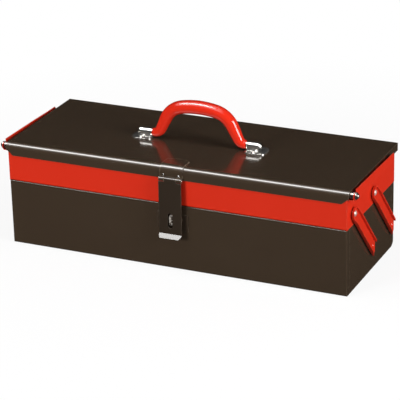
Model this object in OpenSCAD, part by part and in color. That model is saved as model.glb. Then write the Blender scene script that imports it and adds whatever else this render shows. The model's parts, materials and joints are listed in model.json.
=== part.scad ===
// Steel cantilever tool box: a folded base, one full-depth tray that swings up
// and back on four parallel levers, and a lid hinged along the tray's rear edge.
// Origin: centre of the base's underside. +X to the right, -Y to the front, +Z up.

/* [Base] */
// Length of the box, side to side
box_length = 540; // [460:1:640]
// Depth of the box, front to back
box_depth = 200; // [190:1:240]
// Height of the base
base_height = 102; // [92:1:120]
// Thickness of the body sheet
sheet = 1; // [0.8:0.1:1.2]
// Outer radius of the long bend at the bottom of the back of the base
base_bend = 12; // [8:0.5:14]
// Outer radius of the long bend at the bottom of the front of the base
front_bend = 3; // [2.8:0.1:6]
// Outer radius of the upright corners of the base
corner_bend = 2; // [1.6:0.1:3]
// Width of the tabs folded round the upright corners
corner_tab = 12; // [9:0.5:14]
// Depth of the hems and of the folded joint flanges
hem_depth = 10; // [7:0.5:13]

/* [Tray] */
// Height of the tray's walls
tray_height = 46.7; // [44:0.1:54]
// Outer radius of the long bends at the bottom of the tray
tray_bend = 2.5; // [2:0.1:5]
// How far the rims of the end plates step outwards
rim_step = 10; // [9:0.25:12]
// How far the front of a rim stands above the lid
rim_stand = 1.5; // [1:0.25:4]
// How far the rims stop short of the back of the box
rim_short = 30; // [14:1:40]
// Radius of the rounded ear at the front of a rim
ear_r = 7; // [6.5:0.1:8]
// Number of cross dividers in the tray
divider_count = 2; // [1:1:4]
// How far the dividers stay below the hems
divider_drop = 2; // [1:0.5:16]

/* [Levers] */
// Distance between the two pivots of a lever
lever_length = 112; // [104:1:118]
// Forward lean of the levers with the box closed, in degrees
lever_lean = 43; // [38:0.5:46]
// Distance between the front and the rear lever
lever_spacing = 82.5; // [70:0.5:86]
// Distance of the rear lower pivots from the back of the box
lever_inset = 17.1; // [15.5:0.1:26]
// Height of the upper pivots above the tray's underside
lever_head_rise = 18.2; // [15:0.1:24]
// Width of a lever
lever_width = 20; // [18:0.5:22]
// Depth of a lever's folded edges
lever_depth = 5.3; // [4:0.1:6]
// Thickness of the lever strip
lever_sheet = 1.5; // [1.2:0.1:2]
// Length of the levers' lower ends beyond the pivot
lever_tail = 12.5; // [10:0.5:20]
// Length over which the folded edges taper towards a lever's ends
lever_taper = 16; // [8:1:24]
// Distance from the lower pivot to the upright cut behind it
lever_heel = 7.5; // [5.5:0.25:10]
// Thickness of the spacing washers behind the levers
washer_t = 1.8; // [1.4:0.1:2.4]
// Radius of the pivot rivets' shanks
rivet_r = 2.5; // [2:0.1:3]

/* [Lid] */
// Rise of the lid's top over the tray's walls
lid_rise = 12.7; // [12:0.1:14.5]
// How far each end of the lid stands beyond the box
lid_overhang = 3; // [2.5:0.1:3.5]
// Outer radius of the lid's rounded front edge
lid_roll = 9; // [8.4:0.1:10]
// Height of the lid's front flange, below the rounded edge
front_flange = 9.9; // [8.4:0.1:11]
// Depth of the lid's side flanges
side_flange = 12; // [10:0.25:12]
// Width of the cut corners of the front flange
flange_cut = 11; // [8:0.5:14]
// Radius of the corner pins' shanks
corner_pin_r = 2.5; // [2:0.1:2.8]
// Height of the corner pins above the axis of the rounded front edge
corner_pin_rise = 1.8; // [1:0.1:2.2]
// Radius of the discs under the corner pins' heads
corner_disc_r = 5.5; // [5:0.1:6.5]

/* [Rear hinge] */
// Radius of the hinge pin
hinge_pin_r = 1.75; // [1.5:0.05:2]
// Thickness of the hinge leaves
leaf_t = 1; // [0.8:0.1:1.2]
// Depth of the tray's hinge leaf below the pin
leaf_depth = 14; // [11:0.5:18]
// Number of knuckles along the hinge, tray and lid together
knuckle_count = 17; // [9:2:21]

/* [Hasp] */
// Width of the hasp
hasp_width = 36; // [30:0.5:44]
// Thickness of the hasp's plates
hasp_t = 1.3; // [1:0.1:1.5]
// Radius of the hasp's pin
hasp_pin_r = 2; // [1.6:0.1:2.3]
// Length of the strap below its pin
strap_length = 83.5; // [80:0.5:90]
// Reach of the strap's turned-out lip
lip_reach = 6; // [5:0.5:11]
// Width of the strap's slot
slot_width = 8; // [6.5:0.25:10]
// Height of the strap's slot
slot_height = 24; // [21:0.5:28]
// Depth of the middle of the staple below the base's rim
staple_drop = 22; // [18:0.5:25]
// Height of the staple's bridge
staple_height = 16; // [13:0.5:18]
// Width of the staple's bridge
staple_width = 4.6; // [3.5:0.1:5.5]
// How far the staple stands off the base
staple_reach = 8.2; // [7.6:0.1:8.4]
// How far the staple's backing plate reaches below its bridge
staple_foot = 8.5; // [4:0.5:12]
// Depth of the hasp plate on top of the lid
plate_reach = 21; // [16:0.5:26]

/* [Handle] */
// Height of the handle's pivot above the lid
pivot_rise = 8.3; // [7.8:0.1:10]
// Height of the grip's middle above the pivot
arch_rise = 48.2; // [44:0.1:60]
// Half the length of the arch's flat crown
crown_half = 28; // [16:1:34]
// Radius of the flat crown
crown_bend = 140; // [100:5:300]
// Radius of the bends at the shoulders of the arch
shoulder_bend = 36.8; // [30:0.1:44]
// Slope of the handle's legs, in degrees
leg_slope = 64; // [58:0.5:68]
// Radius of the bends at the feet of the arch
foot_bend = 12; // [10:0.5:15]
// Radius of the grip
grip_r = 10.4; // [8.5:0.05:11]
// Radius of the grip at the feet of the arch
grip_foot_r = 7.4; // [6.4:0.05:7.5]
// Radius of the grip's ends
grip_end_r = 6.2; // [5.6:0.05:6.4]
// Radius of the handle's steel rod
rod_r = 4; // [3:0.1:4.5]
// Thickness of the handle brackets
bracket_t = 1.5; // [1:0.1:1.5]
// Length of a bracket's barrel
barrel_length = 18; // [12:0.5:20]
// How far the rod stands out of a barrel before its peened head
rod_end = 1.6; // [0.6:0.1:3]
// Length of a bracket's foot plate, along the box
bracket_width = 33; // [28:0.5:36]
// Distance across a bracket's feet, front to back
bracket_depth = 30; // [27:0.5:40]

/* [Hidden] */
$fn = 48;

// Clearances between pieces
gap = 0.3;
run = 0.05;
open_run = 0.09;
eps = 0.01;

// Outside faces and heights
end_x = box_length / 2;
face_y = box_depth / 2;
tray_z = base_height + gap;
tray_top = tray_z + tray_height;
lid_top = tray_top + lid_rise;

// Rims of the tray's end plates: a level shelf outwards, then upright
rim_x = end_x + rim_step;
rim_front_z = lid_top + rim_stand;
rim_back_z = lid_top - 0.9;
rim_end = face_y - rim_short;

// Rounded front edge of the lid, and the corner pins a little above its axis
roll_y = -face_y - gap - sheet + lid_roll;
roll_z = lid_top - lid_roll;
flange_low = roll_z - front_flange;
lid_x = end_x + lid_overhang;
corner_at = [roll_y, roll_z + corner_pin_rise];

// Rear hinge
knuckle_r = hinge_pin_r + run + leaf_t;
hinge_y = face_y + knuckle_r;
hinge_z = tray_top + 2;
hinge_half = end_x - 12;
knuckle_pitch = 2 * hinge_half / knuckle_count;
lid_leaf_y = hinge_y + knuckle_r - leaf_t - 0.7;
lid_back_y = lid_leaf_y + leaf_t + sheet;

// Levers
lever_x = end_x + washer_t + gap;
lever_out = lever_x + lever_sheet;
lever_eye = lever_width / 2;
rivet_head_r = rivet_r + 2;
rivet_head_h = 2.2;
washer_r = lever_eye - 3;
lever_reach = [-lever_length * sin(lever_lean), lever_length * cos(lever_lean)];
rear_foot = [face_y - lever_inset, tray_z + lever_head_rise - lever_reach[1]];
front_foot = rear_foot - [lever_spacing, 0];
front_head = front_foot + lever_reach;
rear_head = rear_foot + lever_reach;

// Hasp: the pin hangs in front of the flange, the strap leaves it at the front
curl_r = hasp_pin_r + run + hasp_t;
hasp_y = -face_y - gap - sheet - curl_r - gap;
hasp_z = flange_low + 0.2;
staple_z = base_height - staple_drop;
staple_rivet_x = 13.5;
hasp_rivet_x = hasp_width / 3;
hasp_rivet_z = hasp_z + curl_r + 2.1;
strap_hang = hasp_z - staple_z;
strap_back = -hasp_pin_r - run;
strap_top = -sqrt(pow(curl_r + gap, 2) - pow(strap_back, 2));
staple_tip = -face_y - staple_reach;
strap_tilt = asin((hasp_y + strap_back - staple_tip + gap) / strap_hang);
hasp_knuckle = hasp_width / 4;

// Handle
pivot_z = lid_top + pivot_rise;
crown_turn = asin(crown_half / crown_bend);
crown_at = [0, arch_rise - crown_bend];
shoulder_at = crown_at + (crown_bend - shoulder_bend) * [sin(crown_turn), cos(crown_turn)];
leg_top = shoulder_at + shoulder_bend * [sin(leg_slope), cos(leg_slope)];
leg_low_z = foot_bend * (1 - cos(leg_slope));
foot_x = leg_top[0] + (leg_top[1] - leg_low_z) / tan(leg_slope) + foot_bend * sin(leg_slope);
grip_end_x = foot_x + 2.5;
collar_t = 1.6;
barrel_x = grip_end_x + collar_t + 2 * gap;
barrel_end = barrel_x + barrel_length;
barrel_r = rod_r + run + bracket_t;
bracket_low = barrel_x - 3.2;

// Colours
dark = [0.13, 0.10, 0.08];
red = [0.82, 0.16, 0.11];
bright = [0.82, 0.82, 0.80];

// ---- helpers ----------------------------------------------------------

// Extrude a y-z outline from x0 to x1
module along_x(x0, x1) {
    translate([x0, 0, 0])
        rotate([90, 0, 90])
            linear_extrude(x1 - x0)
                children();
}

// Extrude an x-z outline from y0 to y1
module along_y(y0, y1) {
    translate([0, y1, 0])
        rotate([90, 0, 0])
            linear_extrude(y1 - y0)
                children();
}

// Round bar along X
module bar_x(r, x0, x1, at = [0, 0]) {
    translate([x0, at[0], at[1]])
        rotate([0, 90, 0])
            cylinder(r = r, h = x1 - x0);
}

// Ring along X
module ring_x(r, bore, x0, x1, at = [0, 0]) {
    difference() {
        bar_x(r, x0, x1, at);
        bar_x(bore, x0 - 1, x1 + 1, at);
    }
}

// Rectangle by its corners
module box2(low, high) {
    translate(low)
        square(high - low);
}

// The same piece on one end of the box: side is -1 for left, 1 for right
module on_side(side) {
    mirror([side < 0 ? 1 : 0, 0, 0])
        children();
}

// Section of a folded trough, its lower corners rounded by a front and a back bend
module trough(half, low, high, front, back) {
    deep = max(front, back);
    box2([-half, low + deep], [half, high]);
    box2([-half + front, low], [half - back, low + deep]);
    for (corner = [[-1, front], [1, back]]) {
        side = corner[0];
        bend = corner[1];
        translate([side * (half - bend), low + bend]) {
            intersection() {
                circle(r = bend);
                box2([side < 0 ? -bend : 0, -bend], [side < 0 ? 0 : bend, 0]);
            }
            if (bend < deep)
                box2([side < 0 ? -bend : 0, 0], [side < 0 ? 0 : bend, deep - bend]);
        }
    }
}

// Plan with rounded corners
module plan(half_x, half_y, bend) {
    box2([-half_x + bend, -half_y], [half_x - bend, half_y]);
    for (side = [-1, 1])
        box2([side < 0 ? -half_x : half_x - bend, -half_y + bend],
             [side < 0 ? -half_x + bend : half_x, half_y - bend]);
    for (x = [-1, 1], y = [-1, 1])
        translate([x * (half_x - bend), y * (half_y - bend)])
            circle(r = bend);
}

// Domed rivet head standing on the plane x = x0, outwards
module dome_x(r, h, x0, at) {
    ball = (r * r + h * h) / (2 * h);
    translate([x0, at[0], at[1]])
        rotate([0, 90, 0])
            rotate_extrude()
                intersection() {
                    translate([0, h - ball])
                        circle(r = ball);
                    square([r, h]);
                }
}

// Domed rivet head standing up on the plane z = z0
module dome_z(r, h, at) {
    ball = (r * r + h * h) / (2 * h);
    translate(at)
        rotate_extrude()
            intersection() {
                translate([0, h - ball])
                    circle(r = ball);
                square([r, h]);
            }
}

// ---- base -------------------------------------------------------------

// Outline of the opening at each end of the wrap, made smaller by inset
module end_window(inset) {
    box2([-face_y + corner_tab + inset, base_bend], [face_y - corner_tab - inset, base_height]);
    trough(face_y - sheet - inset, sheet + inset, base_bend + eps,
           front_bend - sheet - inset, base_bend - sheet - inset);
}

// Section through the outside of the base, its hems rounded along the top
module base_section() {
    trough(face_y, 0, base_height - sheet, front_bend, base_bend);
    box2([-face_y + sheet, base_bend], [face_y - sheet, base_height]);
    for (side = [-1, 1])
        translate([side * (face_y - sheet), base_height - sheet])
            circle(r = sheet);
}

// Front, bottom and back in one folded sheet, with tabs round the corners
module base_wrap() {
    color(dark) {
        difference() {
            intersection() {
                along_x(-end_x, end_x)
                    base_section();
                linear_extrude(base_height)
                    plan(end_x, face_y, corner_bend);
            }
            intersection() {
                along_x(-end_x, end_x)
                    trough(face_y - sheet, sheet, base_height + 1,
                           front_bend - sheet, base_bend - sheet);
                linear_extrude(base_height + 1)
                    plan(end_x - sheet, face_y - sheet, corner_bend - sheet);
            }
            for (side = [-1, 1])
                on_side(side)
                    along_x(end_x - sheet - eps, end_x + 1)
                        end_window(0);
            staple_holes();
        }
        // Hems along the top of the front and the back, folded inwards
        along_x(hem_depth - end_x, end_x - hem_depth)
            intersection() {
                base_section();
                for (side = [-1, 1])
                    box2([side * (face_y - 1.5 * sheet) - sheet / 2, base_height - hem_depth],
                         [side * (face_y - 1.5 * sheet) + sheet / 2, base_height]);
            }
    }
}

// End plate: its face fills the window, its edge laps behind the tabs, and
// its flange runs along the inside of the wrap
module base_end(side) {
    inner = end_x - sheet;
    color(dark)
        on_side(side)
            difference() {
                union() {
                    along_x(inner - run, end_x)
                        end_window(gap);
                    along_x(inner - sheet, inner - run / 2)
                        trough(face_y - sheet - run, sheet + run, base_height,
                               front_bend - sheet, base_bend - sheet);
                    along_x(inner - hem_depth, inner - sheet + eps)
                        difference() {
                            trough(face_y - sheet - run, sheet + run, base_height - hem_depth - gap,
                                   front_bend - sheet, base_bend - sheet);
                            trough(face_y - 2 * sheet, 2 * sheet, base_height,
                                   front_bend - 2 * sheet, base_bend - 2 * sheet);
                        }
                }
                for (foot = [front_foot, rear_foot])
                    bar_x(rivet_r + run, inner - 2 * sheet, end_x + 1, foot);
                // The corner bends of the wrap pass outside the edge
                for (s = [-1, 1])
                    translate([inner - corner_bend / 2, s * (face_y - sheet), base_height / 2])
                        cube([corner_bend + 1, corner_bend, base_height + 1], center = true);
            }
}

// Holes for the staple's two rivets
module staple_holes() {
    for (s = [-1, 1])
        translate([s * staple_rivet_x, -face_y + 2 * sheet, staple_z])
            rotate([90, 0, 0])
                cylinder(r = 1.6 + run, h = 8);
}

// Staple: a backing plate with a bridge pressed out of it for the padlock
module staple() {
    plate_half = 25;
    plate_low = staple_z - staple_height / 2 - staple_foot;
    plate_high = staple_z + staple_height / 2 + 1;
    bridge = hasp_t + 0.2;
    color(dark)
        difference() {
            union() {
                translate([-plate_half, -face_y - hasp_t, plate_low])
                    cube([2 * plate_half, hasp_t, plate_high - plate_low]);
                along_x(-staple_width / 2, staple_width / 2)
                    difference() {
                        union() {
                            box2([staple_tip, staple_z - staple_height / 2 + 3],
                                 [-face_y - hasp_t / 2, staple_z + staple_height / 2 - 3]);
                            box2([staple_tip + 3, staple_z - staple_height / 2],
                                 [-face_y - hasp_t / 2, staple_z + staple_height / 2]);
                            for (s = [-1, 1])
                                translate([staple_tip + 3, staple_z + s * (staple_height / 2 - 3)])
                                    circle(r = 3);
                        }
                        box2([staple_tip + bridge, staple_z - staple_height / 2 + bridge],
                             [-face_y - hasp_t, staple_z + staple_height / 2 - bridge]);
                    }
            }
            staple_holes();
        }
}

// Rivets through the backing plate and the base's front
module staple_rivets() {
    color(dark)
        for (s = [-1, 1])
            translate([s * staple_rivet_x, -face_y, staple_z])
                rotate([90, 0, 0]) {
                    dome_z(3, 1.2, [0, 0, hasp_t]);
                    translate([0, 0, -sheet - 1])
                        cylinder(r = 1.6, h = 1 + sheet + hasp_t + eps);
                    translate([0, 0, -sheet - 1])
                        cylinder(r = 2.8, h = 1);
                }
}

// Rivets that carry one end's levers on the plate whose inner face is at x0
module pivot_rivets(side, feet, x0) {
    head_x = lever_out + 0.2;
    color(bright)
        on_side(side)
            for (foot = feet) {
                bar_x(rivet_r, x0 - 1, head_x + eps, foot);
                dome_x(rivet_head_r, rivet_head_h, head_x, foot);
                bar_x(rivet_head_r - 0.4, x0 - 1.6, x0, foot);
            }
}

module lower_pivots(side) {
    pivot_rivets(side, [front_foot, rear_foot], end_x - 2 * sheet);
}

// Spacing washers that keep the levers off the box
module washers(at) {
    color(bright)
        for (side = [-1, 1], foot = at)
            on_side(side)
                ring_x(washer_r, rivet_r + run, end_x, end_x + washer_t, foot);
}

// ---- levers -----------------------------------------------------------

// Outline of a lever standing upright on its lower pivot, made smaller by inset
module lever_outline(inset, low) {
    box2([-lever_eye + inset, low], [lever_eye - inset, lever_length]);
    translate([0, lever_length])
        intersection() {
            circle(r = lever_eye - inset);
            box2([-lever_eye, -eps], [lever_eye, lever_eye]);
        }
}

// How far out a lever reaches along its length: the folded edges taper to the ends
module lever_reach_outline() {
    full = lever_x + lever_depth;
    top = lever_length + lever_eye;
    polygon([
        [lever_x - 1, -lever_tail - 1],
        [lever_out + 0.6, -lever_tail - 1],
        [full, lever_taper - lever_tail],
        [full, top - 1.5 * lever_taper],
        [lever_out + 1.4, top + 1],
        [lever_x - 1, top + 1]
    ]);
}

// A pressed lever: a channel open to the outside, its folded edge running
// round the upper eye. It is drawn upright, leant forward about its lower
// pivot, and cut off upright behind that pivot.
module lever(side, foot, top_run) {
    color(red)
        on_side(side)
            translate([0, foot[0], foot[1]])
                difference() {
                    rotate([lever_lean, 0, 0])
                        difference() {
                            intersection() {
                                along_x(lever_x, lever_x + lever_depth)
                                    lever_outline(0, -lever_tail);
                                along_y(-lever_width, lever_width)
                                    lever_reach_outline();
                            }
                            along_x(lever_out, lever_x + lever_depth + 1)
                                lever_outline(lever_sheet, -lever_tail - 1);
                            bar_x(rivet_r + run, lever_x - 1, lever_out + 1);
                            bar_x(rivet_r + top_run, lever_x - 1, lever_out + 1, [0, lever_length]);
                        }
                    translate([lever_x - 1, lever_heel, -2 * lever_tail])
                        cube([lever_depth + 2, 2 * lever_length, 4 * lever_tail]);
                }
}

// ---- tray -------------------------------------------------------------

// Front, bottom and back of the tray in one folded sheet, hemmed at the top
module tray_wrap() {
    half = end_x - sheet;
    color(red) {
        along_x(-half, half)
            difference() {
                trough(face_y, tray_z, tray_top, tray_bend, tray_bend);
                trough(face_y - sheet, tray_z + sheet, tray_top + 1,
                       tray_bend - sheet, tray_bend - sheet);
            }
        for (side = [-1, 1])
            translate([0, side * (face_y - 1.5 * sheet), tray_top - hem_depth / 2])
                cube([2 * half - 2 * hem_depth, sheet, hem_depth], center = true);
    }
}

// Side view of a rim: its top falls a little towards the back, and a round
// ear in front takes the corner pin
module rim_outline() {
    rise_y = roll_y + 4;
    polygon([
        [roll_y - 4, tray_top - sheet],
        [roll_y - 4, corner_at[1]],
        [roll_y, corner_at[1] + ear_r],
        [rise_y, rim_front_z],
        [0, (rim_front_z + rim_back_z) / 2],
        [0.45 * face_y, rim_back_z],
        [rim_end - 3, rim_back_z],
        [rim_end, rim_back_z - 3],
        [rim_end, tray_top - sheet]
    ]);
    intersection() {
        translate(corner_at)
            circle(r = ear_r);
        box2([-face_y, tray_top - sheet], [face_y, rim_front_z]);
    }
}

// End plate: upright, a level shelf outwards at the top, and the rim on it
module tray_end(side) {
    inner = end_x - sheet;
    notch = corner_pin_r + 0.9;
    color(red)
        on_side(side)
            difference() {
                union() {
                    along_x(inner, end_x)
                        box2([-face_y, tray_z], [face_y, tray_top]);
                    translate([inner, roll_y - 4, tray_top - sheet])
                        cube([rim_step + sheet, rim_end - roll_y + 4, sheet]);
                    along_x(rim_x - sheet, rim_x)
                        rim_outline();
                    // Flanges inside the wrap
                    along_x(inner - hem_depth, inner + eps)
                        difference() {
                            trough(face_y - sheet, tray_z + sheet, tray_top - hem_depth - gap,
                                   tray_bend - sheet, tray_bend - sheet);
                            box2([-face_y + 2 * sheet, tray_z + 2 * sheet],
                                 [face_y - 2 * sheet, tray_top]);
                        }
                }
                for (head = [front_head, rear_head])
                    bar_x(rivet_r + run, inner - 1, end_x + 1, head);
                // Open-topped notch for the corner pin
                bar_x(notch, rim_x - 2 * sheet, rim_x + 1, corner_at);
                translate([rim_x - 2 * sheet, roll_y - notch, corner_at[1]])
                    cube([3 * sheet, 2 * notch, ear_r + rim_stand + lid_roll]);
            }
}

// Cross dividers: a wall with a foot and two side flanges, spot welded in
module tray_dividers() {
    low = tray_z + sheet;
    half = face_y - sheet - gap / 2;
    divider_height = tray_height - hem_depth - sheet - divider_drop;
    color(red)
        for (i = [1:divider_count])
            translate([end_x * (2 * i / (divider_count + 1) - 1), 0, 0]) {
                translate([-sheet / 2, -half, low + tray_bend])
                    cube([sheet, 2 * half, divider_height - tray_bend]);
                translate([-sheet / 2, -half + tray_bend, low])
                    cube([sheet, 2 * (half - tray_bend), tray_bend + eps]);
                translate([-sheet / 2, -half + tray_bend, low])
                    cube([hem_depth, 2 * (half - tray_bend), sheet]);
                for (s = [-1, 1])
                    translate([-sheet / 2, s < 0 ? -half : half - sheet, low + tray_bend])
                        cube([hem_depth, sheet, divider_height - tray_bend]);
            }
}

module upper_pivots(side) {
    pivot_rivets(side, [front_head, rear_head], end_x - sheet);
}

// Knuckles with the given remainder, each on its neck of leaf
module knuckles(odd, neck) {
    for (i = [0:knuckle_count - 1])
        if (i % 2 == odd) {
            x0 = -hinge_half + i * knuckle_pitch + gap / 2;
            x1 = -hinge_half + (i + 1) * knuckle_pitch - gap / 2;
            difference() {
                union() {
                    bar_x(knuckle_r, x0, x1, [hinge_y, hinge_z]);
                    along_x(x0, x1)
                        box2(neck[0], neck[1]);
                }
                bar_x(hinge_pin_r + run, x0 - 1, x1 + 1, [hinge_y, hinge_z]);
            }
        }
}

module tray_hinge_leaf() {
    top = hinge_z - knuckle_r - gap;
    color(red) {
        along_x(-hinge_half, hinge_half)
            box2([face_y, hinge_z - leaf_depth], [face_y + leaf_t, top]);
        knuckles(0, [[face_y, top - eps], [face_y + leaf_t, hinge_z]]);
    }
}

module hinge_pin() {
    color(bright)
        bar_x(hinge_pin_r, -hinge_half - 1, hinge_half + 1, [hinge_y, hinge_z]);
}

// ---- lid --------------------------------------------------------------

// Section along the lid: rounded front edge, flat top and rear flange
module lid_section(cut) {
    inner = lid_roll - sheet;
    box2([roll_y - eps, lid_top - sheet], [lid_back_y, lid_top]);
    box2([lid_back_y - sheet, hinge_z + knuckle_r + gap], [lid_back_y, lid_top - sheet + eps]);
    translate([roll_y, roll_z])
        intersection() {
            difference() {
                circle(r = lid_roll);
                circle(r = inner);
            }
            box2([-lid_roll, 0], [0, lid_roll]);
        }
    box2([roll_y - lid_roll, flange_low + cut], [roll_y - inner, roll_z + eps]);
}

// Side flange, with a lug round the corner pin
module lid_side_outline() {
    low = lid_top - side_flange;
    box2([roll_y, low], [lid_back_y, lid_top]);
    translate([roll_y, roll_z])
        intersection() {
            circle(r = lid_roll);
            box2([-lid_roll, 0], [eps, lid_roll]);
        }
    translate(corner_at)
        circle(r = corner_pin_r + 2);
}

module lid_panel() {
    cut_h = 7;
    color(dark)
        difference() {
            union() {
                along_x(-lid_x + sheet / 2, lid_x - sheet / 2)
                    lid_section(0);
                for (side = [-1, 1])
                    on_side(side)
                        along_x(lid_x - sheet, lid_x)
                            lid_side_outline();
            }
            for (side = [-1, 1])
                on_side(side) {
                    bar_x(corner_pin_r + run, lid_x - 2 * sheet, lid_x + 1, corner_at);
                    // Cut corners of the front flange
                    along_y(roll_y - lid_roll - 1, roll_y - lid_roll + sheet + eps)
                        polygon([
                            [lid_x - flange_cut, flange_low - 1],
                            [lid_x - flange_cut, flange_low],
                            [lid_x - 0.25 * flange_cut, flange_low + cut_h],
                            [lid_x + 1, flange_low + cut_h],
                            [lid_x + 1, flange_low - 1]
                        ]);
                }
            // Holes for the brackets' and the hasp's rivets
            for (at = bracket_holes())
                translate([at[0], at[1], lid_top - 2 * sheet])
                    cylinder(r = 1.6 + run, h = 3 * sheet);
            for (s = [-1, 1])
                translate([s * hasp_rivet_x, -face_y + 1, hasp_rivet_z])
                    rotate([90, 0, 0])
                        cylinder(r = 1.2 + run, h = 4);
        }
}

module lid_hinge_leaf() {
    low = hinge_z + knuckle_r + gap;
    color(dark) {
        along_x(-hinge_half, hinge_half)
            box2([lid_leaf_y, low], [lid_leaf_y + leaf_t, lid_top - sheet]);
        knuckles(1, [[lid_leaf_y, hinge_z], [lid_leaf_y + leaf_t, low + eps]]);
    }
}

// Headed pin that rests in the tray's ear when the lid is shut: a disc, then
// a domed head
module corner_pin(side) {
    disc_x = rim_x + gap;
    disc_t = 1.8;
    color(bright)
        on_side(side) {
            bar_x(corner_pin_r, lid_x - sheet - 1, disc_x + eps, corner_at);
            bar_x(corner_pin_r + 1.8, lid_x - sheet - 1.5, lid_x - sheet, corner_at);
            bar_x(corner_disc_r, disc_x, disc_x + disc_t, corner_at);
            dome_x(corner_disc_r - 1.2, 3.8, disc_x + disc_t, corner_at);
        }
}

// Two rings on each corner pin, between the lid and the ear
module corner_rings() {
    room = rim_x - sheet - lid_x;
    ring_t = 0.37 * room;
    color(bright)
        for (side = [-1, 1], i = [0, 1])
            on_side(side)
                ring_x(corner_pin_r + 2.5, corner_pin_r + run,
                       lid_x + gap + i * (ring_t + gap),
                       lid_x + gap + i * (ring_t + gap) + ring_t,
                       corner_at);
}

// Middles of the bracket rivets, all four
function bracket_holes() = [
    for (sx = [-1, 1], sy = [-1, 1])
        [sx * (bracket_low + bracket_width / 2), sy * (barrel_r / 2 + bracket_depth / 4)]
];

// Saddle bracket: a round-cornered plate with a raised barrel for the rod
module bracket(side) {
    low = lid_top;
    foot_r = 10;
    color(bright)
        on_side(side)
            difference() {
                union() {
                    translate([bracket_low + bracket_width / 2, 0, low])
                        linear_extrude(bracket_t)
                            plan(bracket_width / 2, bracket_depth / 2, foot_r);
                    along_x(barrel_x, barrel_end) {
                        translate([0, pivot_z])
                            circle(r = barrel_r);
                        box2([-barrel_r, low + bracket_t / 2], [barrel_r, pivot_z]);
                    }
                }
                along_x(barrel_x - 1, barrel_end + 1) {
                    translate([0, pivot_z])
                        circle(r = rod_r + run);
                }
                along_x(barrel_x + bracket_t, barrel_end - bracket_t)
                    box2([-rod_r - run, low - 1], [rod_r + run, pivot_z]);
                along_x(barrel_x - 1, barrel_end + 1)
                    box2([-rod_r - run, low + bracket_t], [rod_r + run, pivot_z]);
                for (at = bracket_holes())
                    translate([abs(at[0]), at[1], low - 1])
                        cylinder(r = 1.6 + run, h = bracket_t + 2);
            }
}

module bracket_rivets() {
    color(bright)
        for (at = bracket_holes()) {
            dome_z(3.1, 1.5, [at[0], at[1], lid_top + bracket_t]);
            translate([at[0], at[1], lid_top - sheet - 1])
                cylinder(r = 1.6, h = bracket_t + sheet + 1 + eps);
            translate([at[0], at[1], lid_top - sheet - 1])
                cylinder(r = 2.8, h = 1);
        }
}

// ---- hasp -------------------------------------------------------------

// Plate over the lid's front edge; its lower end is curled round the pin
module hasp_plate() {
    outer = lid_roll + hasp_t;
    face = roll_y - lid_roll;
    arch_r = hasp_width * 1.1;
    color(dark)
        difference() {
            intersection() {
                along_x(-hasp_width / 2, hasp_width / 2) {
                    box2([roll_y - eps, lid_top], [roll_y + plate_reach, lid_top + hasp_t]);
                    translate([roll_y, roll_z])
                        intersection() {
                            difference() {
                                circle(r = outer);
                                circle(r = lid_roll + run);
                            }
                            box2([-outer, 0], [0, outer]);
                        }
                    box2([face - hasp_t, hasp_z + 1], [face, roll_z + eps]);
                    translate([hasp_y, hasp_z])
                        circle(r = curl_r);
                    box2([hasp_y, hasp_z], [face - hasp_t / 2, hasp_z + curl_r]);
                }
                // Arched rear edge
                translate([0, roll_y + plate_reach - arch_r, 0])
                    linear_extrude(lid_top + 10)
                        union() {
                            circle(r = arch_r);
                            box2([-hasp_width, -3 * arch_r], [hasp_width, 0]);
                        }
            }
            bar_x(hasp_pin_r + run, -hasp_width, hasp_width, [hasp_y, hasp_z]);
            // Room for the strap's middle knuckle and, with the strap up, its neck
            along_x(-hasp_knuckle - gap, hasp_knuckle + gap) {
                translate([hasp_y, hasp_z])
                    circle(r = curl_r + gap);
                box2([hasp_y - curl_r, hasp_z - curl_r], [face + 1, hasp_z + 1]);
                box2([hasp_y - curl_r, hasp_z - curl_r], [face - hasp_t, hasp_rivet_z - 1]);
            }
            for (s = [-1, 1])
                translate([s * hasp_rivet_x, -face_y + 1, hasp_rivet_z])
                    rotate([90, 0, 0])
                        cylinder(r = 1.2 + run, h = 8);
        }
}

module hasp_rivets() {
    color(dark)
        for (s = [-1, 1])
            translate([s * hasp_rivet_x, roll_y - lid_roll, hasp_rivet_z])
                rotate([90, 0, 0]) {
                    dome_z(1.9, 0.9, [0, 0, hasp_t]);
                    translate([0, 0, -sheet])
                        cylinder(r = 1.2, h = hasp_t + sheet + eps);
                }
}

module hasp_pin() {
    color(bright)
        bar_x(hasp_pin_r, -hasp_width / 2 - 0.6, hasp_width / 2 + 0.6, [hasp_y, hasp_z]);
}

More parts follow.
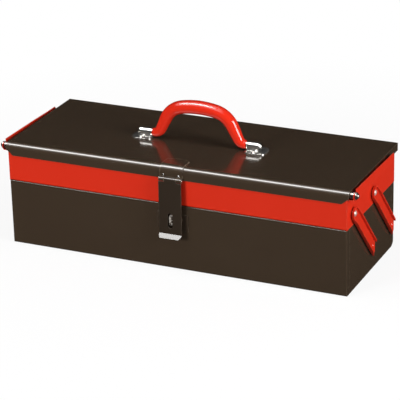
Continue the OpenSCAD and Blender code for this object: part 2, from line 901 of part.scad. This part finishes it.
// Strap: drawn hanging straight down from its pin, then tilted out so that it
// rests against the tip of the staple
module hasp_strap() {
    front = strap_back - hasp_t;
    lip_drop = lip_reach * 0.9;
    low = -strap_length;
    slot_z = staple_z - hasp_z;
    color(dark)
        translate([0, hasp_y, hasp_z])
            rotate([-strap_tilt, 0, 0])
                difference() {
                    union() {
                        along_x(-hasp_knuckle, hasp_knuckle) {
                            circle(r = curl_r);
                            box2([front, strap_top - 1], [strap_back, 0]);
                        }
                        along_x(-hasp_width / 2, hasp_width / 2)
                            polygon([
                                [front, strap_top],
                                [front, low],
                                [front - lip_reach, low - lip_drop],
                                [front - lip_reach + 0.67 * hasp_t, low - lip_drop - 0.74 * hasp_t],
                                [strap_back, low - 0.45 * hasp_t],
                                [strap_back, strap_top]
                            ]);
                    }
                    bar_x(hasp_pin_r + run, -hasp_width, hasp_width);
                    // Cut corners of the lip
                    for (s = [-1, 1])
                        translate([s * hasp_width / 2, front, low - lip_drop - hasp_t])
                            rotate([0, s * 35, 0])
                                cube([6, 4 * lip_reach, 2 * lip_drop], center = true);
                    // Slot with round ends
                    translate([0, 0, slot_z])
                        rotate([90, 0, 0])
                            translate([0, 0, -strap_back - 1])
                                linear_extrude(hasp_t + 2) {
                                    square([slot_width, slot_height - slot_width], center = true);
                                    for (s = [-1, 1])
                                        translate([0, s * (slot_height - slot_width) / 2])
                                            circle(r = slot_width / 2);
                                }
                }
}

// ---- handle -----------------------------------------------------------

// Right half of the arch's centreline, from the crown to x = last: each entry
// is x, z and the downward slope
function bend_points(at, r, from, to, steps) = [
    for (i = [1:steps])
        let (a = from + (to - from) * i / steps)
            [at[0] + r * sin(a), at[1] + r * cos(a), a]
];
function half_arch(last) = concat(
    [[0, arch_rise, 0]],
    bend_points(crown_at, crown_bend, 0, crown_turn, 3),
    bend_points(shoulder_at, shoulder_bend, crown_turn, leg_slope, 7),
    bend_points([foot_x, foot_bend], -foot_bend, leg_slope, 0, 6),
    [[last, 0, 0]]
);
function whole_arch(half) = concat(
    [for (i = [len(half) - 1:-1:1]) [-half[i][0], half[i][1], -half[i][2]]],
    half
);

// Ring of points round one entry of the centreline
function ring_points(at, r, sides) = [
    for (j = [0:sides - 1])
        let (b = 360 * j / sides)
            [at[0] + r * cos(b) * sin(at[2]), r * sin(b), at[1] + r * cos(b) * cos(at[2])]
];

// Faces between ring a and ring b
function ring_faces(a, b, sides) = [
    for (j = [0:sides - 1], half = [0, 1])
        let (k = (j + 1) % sides)
            half == 0
                ? [a * sides + j, b * sides + k, b * sides + j]
                : [a * sides + j, a * sides + k, b * sides + k]
];

// Steel rod: bent to the arch inside the grip, round through the barrels,
// with peened heads outside them
module handle_rod() {
    sides = 16;
    path = whole_arch(half_arch(foot_x + 1.5));
    count = len(path);
    rings = [for (at = path) ring_points(at, rod_r - 0.15, sides)];
    color(bright)
        translate([0, 0, pivot_z]) {
            polyhedron(
                points = [for (ring = rings) each ring],
                faces = concat(
                    [[for (j = [sides - 1:-1:0]) j]],
                    [for (i = [0:count - 2]) each ring_faces(i, i + 1, sides)],
                    [[for (j = [0:sides - 1]) (count - 1) * sides + j]]
                )
            );
            for (s = [-1, 1])
                on_side(s) {
                    bar_x(rod_r, foot_x + 0.5, barrel_end + rod_end + eps);
                    dome_x(rod_r + 1, 2.6, barrel_end + rod_end, [0, 0]);
                }
        }
}

// Moulded grip: a sleeve round the rod, thickest over the crown
module handle_grip() {
    sides = 24;
    path = whole_arch(half_arch(grip_end_x));
    count = len(path);
    bore = (rod_r + run) / cos(180 / sides);
    function grip_at(x) = lookup(abs(x), [
        [0, grip_r],
        [crown_half, grip_r - 0.3],
        [leg_top[0], grip_r - 1],
        [foot_x - 3, grip_foot_r],
        [grip_end_x, grip_end_r]
    ]);
    rings = concat(
        [for (at = path) ring_points(at, grip_at(at[0]), sides)],
        [for (i = [count - 1:-1:0]) ring_points(path[i], bore, sides)]
    );
    color(red)
        translate([0, 0, pivot_z])
            polyhedron(
                points = [for (ring = rings) each ring],
                faces = [for (i = [0:2 * count - 1]) each ring_faces(i, (i + 1) % (2 * count), sides)]
            );
}

// Plated collars between the grip and the brackets
module handle_collars() {
    color(bright)
        for (side = [-1, 1])
            on_side(side)
                ring_x(grip_end_r - 0.2, rod_r + run, grip_end_x + gap, grip_end_x + gap + collar_t,
                       [0, pivot_z]);
}

// ---- assembly ---------------------------------------------------------

base_wrap();
base_end(-1);  // base_end_left
base_end(1);  // base_end_right
staple();
staple_rivets();
lower_pivots(-1);  // lower_pivots_left
lower_pivots(1);  // lower_pivots_right
washers([front_foot, rear_foot]);  // lower_washers
lever(-1, front_foot, run);  // front_lever_left
lever(1, front_foot, run);  // front_lever_right
lever(-1, rear_foot, open_run);  // rear_lever_left
lever(1, rear_foot, open_run);  // rear_lever_right
tray_wrap();
tray_end(-1);  // tray_end_left
tray_end(1);  // tray_end_right
tray_dividers();
upper_pivots(-1);  // upper_pivots_left
upper_pivots(1);  // upper_pivots_right
washers([front_head, rear_head]);  // upper_washers
tray_hinge_leaf();
hinge_pin();
lid_panel();
lid_hinge_leaf();
corner_pin(-1);  // corner_pin_left
corner_pin(1);  // corner_pin_right
corner_rings();
bracket(-1);  // bracket_left
bracket(1);  // bracket_right
bracket_rivets();
hasp_plate();
hasp_rivets();
hasp_pin();
hasp_strap();
handle_rod();
handle_grip();
handle_collars();
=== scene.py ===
import json
import math

import bmesh
import bpy
from mathutils import Euler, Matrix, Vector


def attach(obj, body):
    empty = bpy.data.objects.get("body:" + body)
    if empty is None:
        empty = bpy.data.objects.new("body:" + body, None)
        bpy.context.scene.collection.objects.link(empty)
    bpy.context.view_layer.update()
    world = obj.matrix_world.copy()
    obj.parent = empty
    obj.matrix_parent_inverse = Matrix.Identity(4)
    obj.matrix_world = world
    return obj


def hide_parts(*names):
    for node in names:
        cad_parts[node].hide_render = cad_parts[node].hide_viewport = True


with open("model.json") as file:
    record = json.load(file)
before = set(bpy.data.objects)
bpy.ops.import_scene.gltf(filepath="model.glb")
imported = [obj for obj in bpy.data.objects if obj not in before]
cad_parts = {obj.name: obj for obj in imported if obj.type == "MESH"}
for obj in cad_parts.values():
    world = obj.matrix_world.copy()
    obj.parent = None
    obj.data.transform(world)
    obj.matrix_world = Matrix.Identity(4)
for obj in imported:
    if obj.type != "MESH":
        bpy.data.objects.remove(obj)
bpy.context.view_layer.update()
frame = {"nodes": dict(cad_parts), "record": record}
NODES = frame["nodes"]
MM = 0.001


# ---- small tools ------------------------------------------------------

def linear(code, alpha=1.0):
    """sRGB hex, such as "#d13a20", to a linear colour."""
    values = [int(code[i:i + 2], 16) / 255 for i in (1, 3, 5)]
    return [v / 12.92 if v <= 0.04045 else ((v + 0.055) / 1.055) ** 2.4 for v in values] + [alpha]


def add(tree, kind, inputs=None, **settings):
    """A node with its settings; inputs maps a socket to a value, or to another node's output."""
    node = tree.nodes.new(kind)
    for name, value in settings.items():
        setattr(node, name, value)
    for key, value in (inputs or {}).items():
        if isinstance(value, bpy.types.NodeSocket):
            tree.links.new(value, node.inputs[key])
        else:
            node.inputs[key].default_value = value
    return node


def material(name):
    """A new material, the tree of its nodes, and its shader."""
    mat = bpy.data.materials.new(name)
    mat.use_nodes = True
    tree = mat.node_tree
    return mat, tree, tree.nodes["Principled BSDF"]


def place_object(name, data):
    """An object in the scene that holds a mesh, a lamp or a camera."""
    thing = bpy.data.objects.new(name, data)
    bpy.context.scene.collection.objects.link(thing)
    return thing


def mesh_object(name, bm, mat):
    """An object made of bm, which is used up, in one material."""
    mesh = bpy.data.meshes.new(name)
    bm.to_mesh(mesh)
    bm.free()
    mesh.materials.append(mat)
    return place_object(name, mesh)


# ---- finishes ---------------------------------------------------------

# A noise texture's scale is the number of its swells in a metre

def worn_and_highlit_edge(tree, radius, place):
    """1 on bare or thinly painted edges, where it also paints a highlight, 0 on the flats, broken
    into patches of 6 mm.
    """
    normal = add(tree, "ShaderNodeNewGeometry").outputs["Normal"]
    eased = add(tree, "ShaderNodeBevel", {"Radius": radius}, samples=6)
    same = add(tree, "ShaderNodeVectorMath", {0: normal, 1: eased.outputs["Normal"]},
               operation="DOT_PRODUCT")
    edge = add(tree, "ShaderNodeMapRange", {
        "Value": same.outputs["Value"], "From Min": 0.995, "From Max": 0.93})
    patches = add(tree, "ShaderNodeTexNoise", {"Vector": place, "Scale": 160.0, "Detail": 5.0})
    spread = add(tree, "ShaderNodeMapRange", {
        "Value": patches.outputs["Fac"], "From Min": 0.38, "From Max": 0.62})
    both = add(tree, "ShaderNodeMath", {
        0: edge.outputs["Result"], 1: spread.outputs["Result"]}, operation="MULTIPLY")
    return both.outputs[0]


def chipped(tree, place, paint, bare_y):
    """The paint, chipped down to the steel in front of bare_y, where a padlock's shackle rubs."""
    depth = add(tree, "ShaderNodeSeparateXYZ", {0: place}).outputs["Y"]
    front = add(tree, "ShaderNodeMapRange", {
        "Value": depth, "From Min": bare_y * MM, "From Max": (bare_y - 1) * MM})
    chips = add(tree, "ShaderNodeTexNoise", {"Vector": place, "Scale": 420.0, "Detail": 3.0})
    bare = add(tree, "ShaderNodeMapRange", {
        "Value": chips.outputs["Fac"], "From Min": 0.44, "From Max": 0.54})
    share = add(tree, "ShaderNodeMath", {
        0: front.outputs["Result"], 1: bare.outputs["Result"]}, operation="MULTIPLY")
    return add(tree, "ShaderNodeMixRGB", {
        "Fac": share.outputs[0], "Color1": paint.outputs[0], "Color2": linear("#a09a92")})


def stoved_enamel(name, colour, deep, thin_and_highlit, roughness, wear_and_highlight=0.45, wear_and_highlight_radius=0.7, bare_y=None):
    """Steel sheet, sprayed and stoved.

    The eye sees a hard gloss over one even colour, a faint orange peel in the
    reflections, thinner paint along the folded edges, lighter there also as a
    painted highlight, and a few dull hand marks."""
    mat, tree, shader = material(name)
    place = add(tree, "ShaderNodeTexCoord").outputs["Object"]
    # Uneven film of a spray gun's passes, about 70 mm across
    cloud = add(tree, "ShaderNodeTexNoise", {"Vector": place, "Scale": 14.0, "Detail": 4.0})
    body = add(tree, "ShaderNodeMixRGB", {
        "Fac": cloud.outputs["Fac"], "Color1": linear(deep), "Color2": linear(colour)})
    # Lighter colour along the edges: thinner paint, and also a painted highlight
    edge = worn_and_highlit_edge(tree, wear_and_highlight_radius * MM, place)
    worn_and_highlit = add(tree, "ShaderNodeMath", {0: edge, 1: wear_and_highlight}, operation="MULTIPLY")
    paint = add(tree, "ShaderNodeMixRGB", {
        "Fac": worn_and_highlit.outputs[0], "Color1": body.outputs[0], "Color2": linear(thin_and_highlit)})
    if bare_y is not None:
        paint = chipped(tree, place, paint, bare_y)
    tree.links.new(paint.outputs[0], shader.inputs["Base Color"])
    # Hand marks and wiping, about 20 mm long
    smear = add(tree, "ShaderNodeTexNoise", {"Vector": place, "Scale": 45.0, "Detail": 6.0})
    rough = add(tree, "ShaderNodeMapRange", {
        "Value": smear.outputs["Fac"], "From Min": 0.3, "From Max": 0.7,
        "To Min": 0.44, "To Max": 0.56})
    tree.links.new(rough.outputs["Result"], shader.inputs["Roughness"])
    # Orange peel: swells 2 mm apart and a few microns high
    peel = add(tree, "ShaderNodeTexNoise", {"Vector": place, "Scale": 500.0, "Detail": 2.0})
    bump = add(tree, "ShaderNodeBump", {
        "Height": peel.outputs["Fac"], "Strength": 0.35, "Distance": 0.02 * MM})
    tree.links.new(bump.outputs["Normal"], shader.inputs["Normal"])
    tree.links.new(bump.outputs["Normal"], shader.inputs["Coat Normal"])
    # The clear top of the film is the gloss, and the pigment below hardly shines
    shader.inputs["IOR"].default_value = 1.5
    shader.inputs["Specular IOR Level"].default_value = 0.03
    shader.inputs["Coat Weight"].default_value = 1.0
    shader.inputs["Coat Roughness"].default_value = roughness
    shader.inputs["Coat IOR"].default_value = 1.5
    return mat


def zinc_plate(name, low, high, smooth, dull, metallic=1.0):
    """Zinc plate over steel.

    The eye sees a white metal, a little cloudy, with fine draw marks."""
    mat, tree, shader = material(name)
    place = add(tree, "ShaderNodeTexCoord").outputs["Object"]
    # Clouds of the plating bath, 7 mm across
    cloud = add(tree, "ShaderNodeTexNoise", {"Vector": place, "Scale": 150.0, "Detail": 4.0})
    body = add(tree, "ShaderNodeMixRGB", {
        "Fac": cloud.outputs["Fac"], "Color1": linear(low), "Color2": linear(high)})
    tree.links.new(body.outputs[0], shader.inputs["Base Color"])
    rough = add(tree, "ShaderNodeMapRange", {
        "Value": cloud.outputs["Fac"], "To Min": smooth, "To Max": dull})
    tree.links.new(rough.outputs["Result"], shader.inputs["Roughness"])
    # Draw marks of the press tools, 0.4 mm apart and drawn coarser than they are
    along = add(tree, "ShaderNodeMapping", {"Vector": place, "Scale": (300.0, 2500.0, 300.0)})
    marks = add(tree, "ShaderNodeTexNoise", {
        "Vector": along.outputs[0], "Scale": 1.0, "Detail": 2.0})
    bump = add(tree, "ShaderNodeBump", {
        "Height": marks.outputs["Fac"], "Strength": 0.3, "Distance": 0.04 * MM})
    tree.links.new(bump.outputs["Normal"], shader.inputs["Normal"])
    shader.inputs["Metallic"].default_value = metallic
    return mat


def moulded_vinyl(name, low, high):
    """Soft vinyl moulded round the rod.

    The eye sees one even red with a wet gloss, very slightly wavy where the
    mould was polished by hand, and duller where hands rub it."""
    mat, tree, shader = material(name)
    place = add(tree, "ShaderNodeTexCoord").outputs["Object"]
    # Pigment that isn't quite mixed, 40 mm across
    cloud = add(tree, "ShaderNodeTexNoise", {"Vector": place, "Scale": 25.0, "Detail": 3.0})
    body = add(tree, "ShaderNodeMixRGB", {
        "Fac": cloud.outputs["Fac"], "Color1": linear(low), "Color2": linear(high)})
    tree.links.new(body.outputs[0], shader.inputs["Base Color"])
    # Rubbed places, 17 mm across
    rub = add(tree, "ShaderNodeTexNoise", {"Vector": place, "Scale": 60.0, "Detail": 5.0})
    rough = add(tree, "ShaderNodeMapRange", {
        "Value": rub.outputs["Fac"], "From Min": 0.3, "From Max": 0.7,
        "To Min": 0.04, "To Max": 0.08})
    tree.links.new(rough.outputs["Result"], shader.inputs["Roughness"])
    # Waves of the mould's face, 6 mm apart
    swell = add(tree, "ShaderNodeTexNoise", {"Vector": place, "Scale": 180.0, "Detail": 1.0})
    bump = add(tree, "ShaderNodeBump", {
        "Height": swell.outputs["Fac"], "Strength": 0.3, "Distance": 0.05 * MM})
    tree.links.new(bump.outputs["Normal"], shader.inputs["Normal"])
    shader.inputs["IOR"].default_value = 1.52
    return mat


GLOSS = 0.13
THIN_AND_HIGHLIT_BROWN = "#8d8070"
# The staple is chipped in front of this y, in millimetres
STAPLE_BARE_Y = -103.2

# The lighter edge colours stand for thinner paint and also paint a highlight along the edges
brown = stoved_enamel("brown_stoved_enamel", "#3a2f24", "#362b21", THIN_AND_HIGHLIT_BROWN, GLOSS)
red = stoved_enamel("red_stoved_enamel", "#c62b17", "#c12915", "#e8765c", GLOSS)
zinc = zinc_plate("bright_zinc_plate", "#c2c1bd", "#e6e5e2", 0.08, 0.2)
vinyl = moulded_vinyl("red_moulded_vinyl", "#cb2817", "#d52d1a")
# The hasp's plate has a strong painted highlight along its rubbed edges; its strap is a darker
# brown, and dull from fingers
rubbed_highlit_brown = stoved_enamel("brown_enamel_rubbed_highlit_edges", "#3a2f24", "#362b21", "#a3927e", GLOSS,
                             wear_and_highlight=0.8, wear_and_highlight_radius=1.1)
handled_brown = stoved_enamel("brown_enamel_handled", "#2e251c", "#2a2119", THIN_AND_HIGHLIT_BROWN, 0.3)
chipped_brown = stoved_enamel("brown_enamel_chipped", "#372c22", "#32281f", THIN_AND_HIGHLIT_BROWN, 0.2,
                              bare_y=STAPLE_BARE_Y)
# The corner pins are grey, the brackets cloudy, the levers' upper rivets a duller pinkish grey
dark_zinc = zinc_plate("dark_zinc_plate", "#7c7670", "#a6a09a", 0.2, 0.34, metallic=0.92)
cloudy_zinc = zinc_plate("cloudy_zinc_plate", "#c2bfba", "#e6e4e0", 0.1, 0.24, metallic=0.92)
dull_zinc = zinc_plate("dull_zinc_plate", "#b29a92", "#d8c4bc", 0.3, 0.5, metallic=0.5)

SLOT_FINISH = {
    "brown_paint": brown,
    "red_paint": red,
    "plated_steel": zinc,
    "red_plastic": vinyl,
}
NODE_FINISH = {
    "hasp_plate": rubbed_highlit_brown,
    "hasp_strap": handled_brown,
    "staple": chipped_brown,
    "corner_pin_left": dark_zinc,
    "corner_pin_right": dark_zinc,
    "corner_rings": dark_zinc,
    "bracket_left": cloudy_zinc,
    "bracket_right": cloudy_zinc,
    "bracket_rivets": cloudy_zinc,
    "upper_pivots_left": dull_zinc,
    "upper_pivots_right": dull_zinc,
}
for part in frame["record"]["subparts"]:
    finish = NODE_FINISH.get(part["node"], SLOT_FINISH[part["material_slot"]])
    mesh = NODES[part["node"]].data
    mesh.materials.clear()
    mesh.materials.append(finish)


# ---- edges of the sheet -----------------------------------------------

# Faces at less than FLAT_ANGLE are one face; edges beyond BEVEL_ANGLE are rounded
FLAT_ANGLE = math.radians(0.4)
BEVEL_ANGLE = math.radians(40)
SHARP_ANGLE = math.radians(36)
# Radius of the rounded edges, in millimetres
EDGE_RADIUS = 0.25
# Points closer than this, in millimetres, become one. Each gap keeps its piece closed
WELD_GAP = 0.01
NODE_WELD_GAP = {
    "lid_panel": 0.05,
    "base_wrap": 0.002,
    "base_end_left": 0.002,
    "base_end_right": 0.002,
}


def smooth_by_angle():
    """Smooth shading over curved faces, sharp where faces meet at an angle."""
    tree = bpy.data.node_groups.new("smooth_by_angle", "GeometryNodeTree")
    for way in ("INPUT", "OUTPUT"):
        tree.interface.new_socket("Geometry", in_out=way, socket_type="NodeSocketGeometry")
    start = add(tree, "NodeGroupInput")
    faces = add(tree, "GeometryNodeSetShadeSmooth", {
        "Geometry": start.outputs[0], "Shade Smooth": True}, domain="FACE")
    angle = add(tree, "GeometryNodeInputMeshEdgeAngle")
    sharp = add(tree, "FunctionNodeCompare", {
        0: angle.outputs["Unsigned Angle"], 1: SHARP_ANGLE}, operation="GREATER_THAN")
    edges = add(tree, "GeometryNodeSetShadeSmooth", {
        "Geometry": faces.outputs[0], "Selection": sharp.outputs[0], "Shade Smooth": False},
        domain="EDGE")
    end = add(tree, "NodeGroupOutput")
    tree.links.new(edges.outputs[0], end.inputs[0])
    return tree


SMOOTH = smooth_by_angle()


def ease_edges(thing, radius, weld_gap):
    """Round the edges a little, so that they catch the light as real edges do."""
    weld = thing.modifiers.new("weld", "WELD")
    weld.merge_threshold = weld_gap
    flat = thing.modifiers.new("flat", "DECIMATE")
    flat.decimate_type = "DISSOLVE"
    flat.angle_limit = FLAT_ANGLE
    bevel = thing.modifiers.new("bevel", "BEVEL")
    bevel.width = radius
    bevel.segments = 3
    bevel.limit_method = "ANGLE"
    bevel.angle_limit = BEVEL_ANGLE
    smooth = thing.modifiers.new("smooth", "NODES")
    smooth.node_group = SMOOTH
    even = thing.modifiers.new("even", "WEIGHTED_NORMAL")
    even.keep_sharp = True


for name, thing in NODES.items():
    if name != "handle_grip":
        ease_edges(thing, EDGE_RADIUS * MM, NODE_WELD_GAP.get(name, WELD_GAP) * MM)


# ---- grip -------------------------------------------------------------

# Sizes in millimetres. The arch, from its crown down to its feet
ARCH_RISE = 48.2
CROWN_HALF, CROWN_BEND = 28.0, 140.0
SHOULDER_BEND, LEG_SLOPE, FOOT_BEND = 36.8, math.radians(64), 12.0
CROWN_STEPS, SHOULDER_STEPS, LEG_STEPS, FOOT_STEPS = 8, 14, 6, 12
# The leg's taper ends this far inside the foot, and a rounded lip ends the vinyl beyond it
FOOT_INSIDE, LIP_START, LIP_END = 3.0, 1.4, 2.5
# Radii of the vinyl from the crown's middle to the lip's end
CROWN_R, CROWN_END_R, SHOULDER_R, FOOT_R, LIP_R, LIP_END_R = 10.4, 10.1, 9.4, 6.9, 6.3, 5.5
ROD_R = 4.0
BORE_GAP = 0.15
GRIP_SIDES = 40


def arc(centre, radius, start, end, steps):
    """x, z and slope along an arc between two slopes, without its first point."""
    slopes = [start + (end - start) * i / steps for i in range(1, steps + 1)]
    return [(centre[0] + radius * math.sin(a), centre[1] + radius * math.cos(a), a)
            for a in slopes]


def straight(start, end, steps):
    """x, z and slope along a straight stretch, without its first point."""
    shares = [i / steps for i in range(1, steps + 1)]
    return [(start[0] + (end[0] - start[0]) * t, start[1] + (end[1] - start[1]) * t, start[2])
            for t in shares]


def arch_half():
    """Right half of the grip's centreline, and the x of the leg's top and of the foot."""
    turn = math.asin(CROWN_HALF / CROWN_BEND)
    crown_centre = (0.0, ARCH_RISE - CROWN_BEND)
    shoulder_centre = (crown_centre[0] + (CROWN_BEND - SHOULDER_BEND) * math.sin(turn),
                       crown_centre[1] + (CROWN_BEND - SHOULDER_BEND) * math.cos(turn))
    crown = arc(crown_centre, CROWN_BEND, 0.0, turn, CROWN_STEPS)
    shoulder = arc(shoulder_centre, SHOULDER_BEND, turn, LEG_SLOPE, SHOULDER_STEPS)
    leg_top_x, leg_top_z, _ = shoulder[-1]
    leg_low_z = FOOT_BEND * (1 - math.cos(LEG_SLOPE))
    leg_low_x = leg_top_x + (leg_top_z - leg_low_z) / math.tan(LEG_SLOPE)
    foot_x = leg_low_x + FOOT_BEND * math.sin(LEG_SLOPE)
    leg = straight(shoulder[-1], (leg_low_x, leg_low_z), LEG_STEPS)
    foot = arc((foot_x, FOOT_BEND), -FOOT_BEND, LEG_SLOPE, 0.0, FOOT_STEPS)
    lip = [(foot_x + LIP_START, 0.0, 0.0), (foot_x + LIP_END, 0.0, 0.0)]
    return [(0.0, ARCH_RISE, 0.0)] + crown + shoulder + leg + foot + lip, leg_top_x, foot_x


def grip_radius(x, leg_top_x, foot_x):
    """Radius of the vinyl at x, between the radii named above."""
    stops = [(0.0, CROWN_R), (CROWN_HALF, CROWN_END_R), (leg_top_x, SHOULDER_R),
             (foot_x - FOOT_INSIDE, FOOT_R), (foot_x + LIP_START, LIP_R),
             (foot_x + LIP_END, LIP_END_R)]
    x = abs(x)
    for (x0, r0), (x1, r1) in zip(stops, stops[1:]):
        if x <= x1:
            return r0 + (r1 - r0) * (x - x0) / (x1 - x0)
    return LIP_END_R


def ring_of_points(bm, at, radius, pivot_z):
    """Points round the centreline at one place."""
    x, z, slope = at
    ring = []
    for i in range(GRIP_SIDES):
        turn = 2 * math.pi * i / GRIP_SIDES
        out, side = radius * math.cos(turn), radius * math.sin(turn)
        ring.append(bm.verts.new(((x + out * math.sin(slope)) * MM, side * MM,
                                  pivot_z + (z + out * math.cos(slope)) * MM)))
    return ring


def make_grip():
    """The vinyl grip: one closed skin, round outside and with a bore for the rod."""
    joints = {joint["name"]: joint for joint in frame["record"]["behaviour"]["joints"]}
    pivot_z = joints["handle_fold"]["pos_m"][2]
    half, leg_top_x, foot_x = arch_half()
    path = [(-x, z, -slope) for x, z, slope in reversed(half[1:])] + half
    # Along the outside from end to end, and back along the bore round the rod
    outside = [(at, grip_radius(at[0], leg_top_x, foot_x)) for at in path]
    bore = [(at, ROD_R + BORE_GAP) for at in reversed(path)]
    bm = bmesh.new()
    rings = [ring_of_points(bm, at, radius, pivot_z) for at, radius in outside + bore]
    for one, two in zip(rings, rings[1:] + rings[:1]):
        for i in range(GRIP_SIDES):
            k = (i + 1) % GRIP_SIDES
            bm.faces.new((one[i], one[k], two[k], two[i]))
    bmesh.ops.recalc_face_normals(bm, faces=bm.faces)
    grip = mesh_object("grip_sleeve", bm, vinyl)
    smooth = grip.modifiers.new("smooth", "NODES")
    smooth.node_group = SMOOTH
    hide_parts("handle_grip")
    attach(grip, "handle")


make_grip()


# ---- stage ------------------------------------------------------------

# Metres. The floor reaches far out of the picture. The dark flags stand behind the lamps, and
# one lies just over the floor, so that the paint doesn't mirror the white floor
FLOOR_HALF = 30.0
FLOOR_Z, FLAG_Z = -0.0002, -0.0001
FLAG_HALF = 4.0
TENT_RADIUS = 3.9
# The cards hang above the box, in front of it and to its left, tilted towards it
CARD_WAY = Vector((-0.39, -0.27, 0.88))
CARD_TILT = math.radians(17)
# Name, half sizes, brightness, share of the width that fades, and distance
CARDS = (
    ("overhead_core", 1.1, 0.58, 23.0, 0.3, 2.6),
    ("overhead_skirt", 2.2, 1.75, 3.2, 0.25, 2.75),
)
WHITE = linear("#ffffff")
WORLD_LIGHT = 0.22
LAMP_AIM = (0.0, 0.0, 0.1)


def only_in_reflections(thing):
    """Hide a stage piece from everything but the box's shine."""
    for kind in ("camera", "diffuse", "transmission", "volume_scatter", "shadow"):
        setattr(thing, "visible_" + kind, False)


def stage_sheet(name, half_x, half_y, mat):
    """A flat sheet of the stage, lying about the origin."""
    bm = bmesh.new()
    bmesh.ops.create_grid(bm, x_segments=8, y_segments=8, size=1)
    bmesh.ops.scale(bm, vec=(half_x, half_y, 1), verts=bm.verts)
    sheet = mesh_object(name, bm, mat)
    return sheet


def looked_at(tree):
    """1 for the camera's rays, also by way of a reflection or through glass, 0 for light."""
    path = add(tree, "ShaderNodeLightPath")
    seen = add(tree, "ShaderNodeMath", {
        0: path.outputs["Is Camera Ray"], 1: path.outputs["Is Glossy Ray"]}, operation="MAXIMUM")
    seen = add(tree, "ShaderNodeMath", {
        0: seen.outputs[0], 1: path.outputs["Is Transmission Ray"]}, operation="MAXIMUM")
    return seen.outputs[0]


def pale_floor():
    """White to the camera, a middling grey to the light that it sends back up."""
    mat, tree, shader = material("pale_floor")
    seen = looked_at(tree)
    tone = add(tree, "ShaderNodeMixRGB", {
        "Fac": seen, "Color1": linear("#b8b8b8"), "Color2": linear("#f4f4f4")})
    tree.links.new(tone.outputs[0], shader.inputs["Base Color"])
    shader.inputs["Roughness"].default_value = 0.95
    shader.inputs["Specular IOR Level"].default_value = 0.0
    glow = add(tree, "ShaderNodeEmission", {"Color": WHITE, "Strength": 1.0})
    # The object's shadow shows near it, and the floor further off is plain white
    place = add(tree, "ShaderNodeTexCoord").outputs["Object"]
    away = add(tree, "ShaderNodeVectorMath", {0: place}, operation="LENGTH")
    near = add(tree, "ShaderNodeMapRange", {
        "Value": away.outputs["Value"], "From Min": 0.3, "From Max": 0.9,
        "To Min": 0.86, "To Max": 1.0})
    share = add(tree, "ShaderNodeMath", {0: seen, 1: near.outputs[0]}, operation="MULTIPLY")
    mix = add(tree, "ShaderNodeMixShader", {
        0: share.outputs[0], 1: shader.outputs["BSDF"], 2: glow.outputs["Emission"]})
    tree.links.new(mix.outputs["Shader"], tree.nodes["Material Output"].inputs["Surface"])
    return mat


def black_flag():
    """Dark cloth that stands round the object, out of the camera's sight."""
    mat, tree, _ = material("black_flag")
    glow = add(tree, "ShaderNodeEmission", {"Color": WHITE, "Strength": 0.005})
    tree.links.new(glow.outputs["Emission"], tree.nodes["Material Output"].inputs["Surface"])
    return mat


def card_glow(name, level, edge):
    """A reflector's face: brightest in the middle, fading towards its edges."""
    mat, tree, _ = material(name)
    place = add(tree, "ShaderNodeTexCoord").outputs["Generated"]
    parts = add(tree, "ShaderNodeSeparateXYZ", {0: place})
    power = level
    for axis in ("X", "Y"):
        off = add(tree, "ShaderNodeMath", {0: parts.outputs[axis], 1: 0.5}, operation="SUBTRACT")
        size = add(tree, "ShaderNodeMath", {0: off.outputs[0]}, operation="ABSOLUTE")
        share = add(tree, "ShaderNodeMapRange", {
            "Value": size.outputs[0], "From Min": 0.5, "From Max": 0.5 - edge},
            interpolation_type="SMOOTHSTEP")
        power = add(tree, "ShaderNodeMath", {
            0: share.outputs[0], 1: power}, operation="MULTIPLY").outputs[0]
    glow = add(tree, "ShaderNodeEmission", {"Color": WHITE, "Strength": power})
    tree.links.new(glow.outputs["Emission"], tree.nodes["Material Output"].inputs["Surface"])
    return mat


def stage():
    """The floor, the dark flags and the overhead cards."""
    floor = stage_sheet("floor", FLOOR_HALF, FLOOR_HALF, pale_floor())
    floor.location.z = FLOOR_Z
    flag = black_flag()
    under = stage_sheet("floor_flag", FLAG_HALF, FLAG_HALF, flag)
    under.location.z = FLAG_Z
    only_in_reflections(under)
    bm = bmesh.new()
    bmesh.ops.create_uvsphere(bm, u_segments=48, v_segments=24, radius=TENT_RADIUS)
    tent = mesh_object("flag_tent", bm, flag)
    only_in_reflections(tent)
    # The cards' image is the long light along the lid's rounded front
    for name, half_x, half_y, level, edge, distance in CARDS:
        card = stage_sheet(name, half_x, half_y, card_glow(name, level, edge))
        card.location = CARD_WAY * distance
        card.rotation_euler = (CARD_TILT, 0, 0)
        only_in_reflections(card)


def softbox(name, at, size, power, reflected=True):
    """A soft lamp aimed at the box."""
    lamp = bpy.data.lights.new(name, "AREA")
    lamp.shape = "RECTANGLE"
    lamp.size, lamp.size_y = size
    lamp.energy = power
    box = place_object(name, lamp)
    box.location = at
    box.rotation_euler = (Vector(LAMP_AIM) - Vector(at)).to_track_quat("-Z", "Y").to_euler()
    box.visible_glossy = reflected


def studio():
    """A white room to the eye, which gives little light, and three soft lamps."""
    world = bpy.data.worlds.new("studio")
    bpy.context.scene.world = world
    world.use_nodes = True
    tree = world.node_tree
    back = tree.nodes["Background"]
    level = add(tree, "ShaderNodeMapRange", {
        "Value": looked_at(tree), "To Min": WORLD_LIGHT, "To Max": 1.0})
    back.inputs["Color"].default_value = WHITE
    tree.links.new(level.outputs["Result"], back.inputs["Strength"])
    softbox("overhead", (-1.03, -0.75, 2.37), (1.6, 1.3), 18, reflected=False)
    softbox("right_fill", (2.7, -0.5, 1.1), (1.4, 1.4), 98)
    softbox("front_fill", (-1.2, -2.6, 0.8), (0.9, 0.8), 60, reflected=False)


def photo_camera():
    """The photograph's viewpoint: about 25 degrees round to the right and 22 degrees up."""
    data = bpy.data.cameras.new("camera")
    data.sensor_width = 36
    data.lens = 185.306
    camera = place_object("camera", data)
    camera.location = (1.1971, -2.5896, 1.2604)
    camera.rotation_euler = Euler([math.radians(a) for a in (67.3542, 1.3754, 24.2752)])
    bpy.context.scene.camera = camera


photo_camera()
stage()
studio()
bpy.context.scene.view_settings.view_transform = "Standard"
